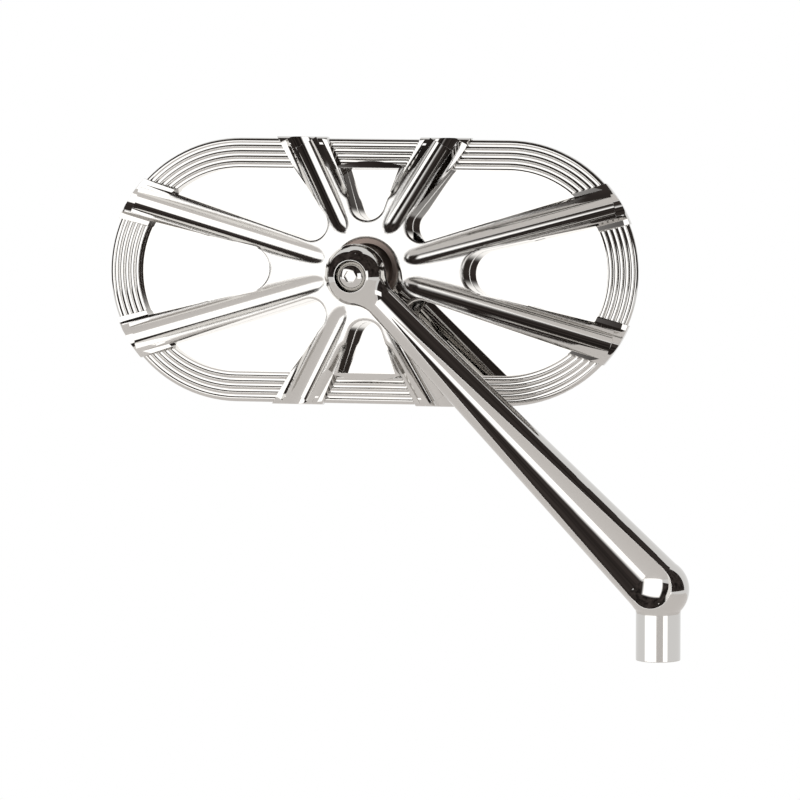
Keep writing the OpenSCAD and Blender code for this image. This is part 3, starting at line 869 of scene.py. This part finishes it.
def photo_camera(sizes):
    """Camera at the photograph's viewing angle."""
    camera = new_object("camera", bpy.data.cameras.new("camera"))
    camera.data.lens = sizes.camera_lens
    camera.data.sensor_width = CAMERA_SENSOR
    camera.data.clip_end = CAMERA_FAR
    out = towards(math.degrees(sizes.camera_azimuth), math.degrees(sizes.camera_elevation))
    camera.location = Vector(sizes.camera_target) + out * sizes.camera_distance
    camera.rotation_euler = (-out).to_track_quat("-Z", "Y").to_euler()
    bpy.context.scene.camera = camera


def white_tent():
    """World that is white to the camera and in reflections, and lights at a plain level."""
    world = bpy.data.worlds.new("white_tent")
    bpy.context.scene.world = world
    world.use_nodes = True
    tree = world.node_tree
    tree.nodes.clear()
    path = add(tree, "ShaderNodeLightPath")
    seen = path.outputs["Is Camera Ray"]
    for ray in ("Is Glossy Ray", "Is Transmission Ray"):
        seen = add(tree, "ShaderNodeMath", {"operation": "MAXIMUM"},
                   in0=seen, in1=path.outputs[ray]).outputs[0]
    level = add(tree, "ShaderNodeMapRange", Value=seen, To_Min=TENT_LIGHT, To_Max=TENT_WHITE)
    light = add(tree, "ShaderNodeBackground", Color=(1, 1, 1, 1), Strength=level.outputs["Result"])
    add(tree, "ShaderNodeOutputWorld", Surface=light.outputs[0])


def pale_floor(drop, hex_colour):
    """Matte floor under the mirror, which keeps its shadow."""
    corners = [(-FLOOR_HALF_WIDTH, FLOOR_FRONT, -drop), (FLOOR_HALF_WIDTH, FLOOR_FRONT, -drop),
               (FLOOR_HALF_WIDTH, FLOOR_BACK, -drop), (-FLOOR_HALF_WIDTH, FLOOR_BACK, -drop)]
    floor = new_object("floor", new_mesh("floor", corners, [(0, 1, 2, 3)]))
    material, tree = new_material("matte_floor")
    shader = add(tree, "ShaderNodeBsdfPrincipled", Base_Color=linear(hex_colour), Roughness=0.8)
    floor.data.materials.append(finish_material(material, shader))


class MIRROR_OT_studio(bpy.types.Operator):
    """Camera, floor, white tent, dark cloth and softboxes"""
    bl_idname = "mirror.studio"
    bl_label = "Studio"

    def execute(self, context):
        scene = context.scene
        # The objects that a new scene comes with
        for name in ("Cube", "Light", "Camera"):
            if name in bpy.data.objects:
                bpy.data.objects.remove(bpy.data.objects[name])
        scene.view_settings.view_transform = "Standard"
        photo_camera(scene.mirror_sizes)
        white_tent()
        pale_floor(scene.mirror_sizes.floor_drop, scene.mirror_colours.floor)
        dark_flag()
        card("front_white", azimuth=-29, elevation=9, distance=1.0, width=1.55, height=1.35)
        card("right_softbox", azimuth=48, elevation=0, distance=1.2, width=0.55, height=0.8)
        return {"FINISHED"}


class MIRROR_OT_chromed(bpy.types.Operator):
    """Arm, spoked back and window floor, chromed"""
    bl_idname = "mirror.chromed"
    bl_label = "Chromed pieces"

    def execute(self, context):
        sizes = context.scene.mirror_sizes
        dressed("arm", chrome_plate(sizes.arm_edge), arm_axes())
        back = dressed("spoke_frame", chrome_plate(), head_axes(), carve_spokes)
        soften_edges(back, sizes.rim_edge, sizes.spoke_edge)
        dressed("floor_plate", chrome_plate(sizes.plate_edge), head_axes())
        return {"FINISHED"}


class MIRROR_OT_ball_joint(bpy.types.Operator):
    """Ball stud, its screw and washer, socket ring, seats and spring"""
    bl_idname = "mirror.ball_joint"
    bl_label = "Ball joint"

    def execute(self, context):
        sizes, colours = context.scene.mirror_sizes, context.scene.mirror_colours
        stud_axis = [(BALL, Vector((0, 1, 0)))]
        # Satin steel, turned and left bare: a warm grey that blurs what it reflects
        ball_steel = turned_steel("satin_ball_steel", colours.ball_steel)
        ring_steel = turned_steel("satin_ring_steel", colours.ring_steel)
        dressed("ball_stud", ball_steel, stud_axis)
        dressed("socket_ring", ring_steel, head_axes())
        dressed("stud_screw", chrome_plate(sizes.screw_edge), stud_axis)
        dressed("lock_washer", chrome_plate(sizes.washer_edge), stud_axis)
        # Natural nylon, moulded: milky white, with a little light inside it
        nylon = moulded("natural_nylon", colours.nylon, rough=0.42, grain=0.8, depth=0.01,
                        subsurface=0.2)
        for node in ("ball_liner", "front_seat", "rear_seat"):
            finish_node(node, nylon)
        # Steel, turned and zinc plated: a pale cool grey with a dull shine
        zinc = turned_steel("zinc_plated_steel", colours.zinc, "Z", feed=0.5, rough=0.32)
        for node in ["disc_spring", "pressure_plate", "stud_dowel"] + numbered("clamp_screw", 4):
            finish_node(node, zinc)
        return {"FINISHED"}


class MIRROR_OT_glass(bpy.types.Operator):
    """Mirror glass with its gasket, foam pad and plate screws"""
    bl_idname = "mirror.glass"
    bl_label = "Glass and backing"

    def execute(self, context):
        colours = context.scene.mirror_colours
        finish_node("mirror_glass", mirror_glass())
        # Rubber, moulded: near black with a soft, even sheen
        rubber = moulded("moulded_rubber", colours.rubber, rough=0.55, grain=0.5, depth=0.02)
        dressed("glass_gasket", rubber, head_axes())
        # Foam tape, die-cut: dark and matte, with open cells that pit its face
        foam = moulded("foam_tape", colours.foam, rough=0.9, grain=0.35, depth=0.12)
        finish_node("glass_pad", foam)
        # Steel screws, turned and zinc plated, with their tool rings the other way
        zinc = turned_steel("zinc_plated_screw", colours.zinc, "X", feed=0.5, rough=0.32)
        for node in numbered("plate_screw", 8):
            finish_node(node, zinc)
        return {"FINISHED"}


class MIRROR_PT_panel(bpy.types.Panel):
    """Sizes, colours and pieces of the mirror"""
    bl_idname = "MIRROR_PT_panel"
    bl_label = "Motorcycle mirror"
    bl_space_type = "VIEW_3D"
    bl_region_type = "UI"
    bl_category = "Mirror"

    def draw(self, context):
        for group in (context.scene.mirror_sizes, context.scene.mirror_colours):
            box = self.layout.box()
            for name in group.bl_rna.properties.keys():
                if name not in ("rna_type", "name"):
                    box.prop(group, name)
        for operator in OPERATORS:
            self.layout.operator(operator.bl_idname)


OPERATORS = (MIRROR_OT_studio, MIRROR_OT_chromed, MIRROR_OT_ball_joint, MIRROR_OT_glass)
CLASSES = (MirrorSizes, MirrorColours, *OPERATORS, MIRROR_PT_panel)


def register():
    for cls in CLASSES:
        bpy.utils.register_class(cls)
    bpy.types.Scene.mirror_sizes = bpy.props.PointerProperty(type=MirrorSizes)
    bpy.types.Scene.mirror_colours = bpy.props.PointerProperty(type=MirrorColours)


def unregister():
    del bpy.types.Scene.mirror_colours
    del bpy.types.Scene.mirror_sizes
    for cls in reversed(CLASSES):
        bpy.utils.unregister_class(cls)


def main():
    """Makes the mirror and its studio."""
    register()
    bpy.ops.mirror.studio()
    bpy.ops.mirror.chromed()
    bpy.ops.mirror.ball_joint()
    bpy.ops.mirror.glass()


if __name__ == "__main__":
    main()
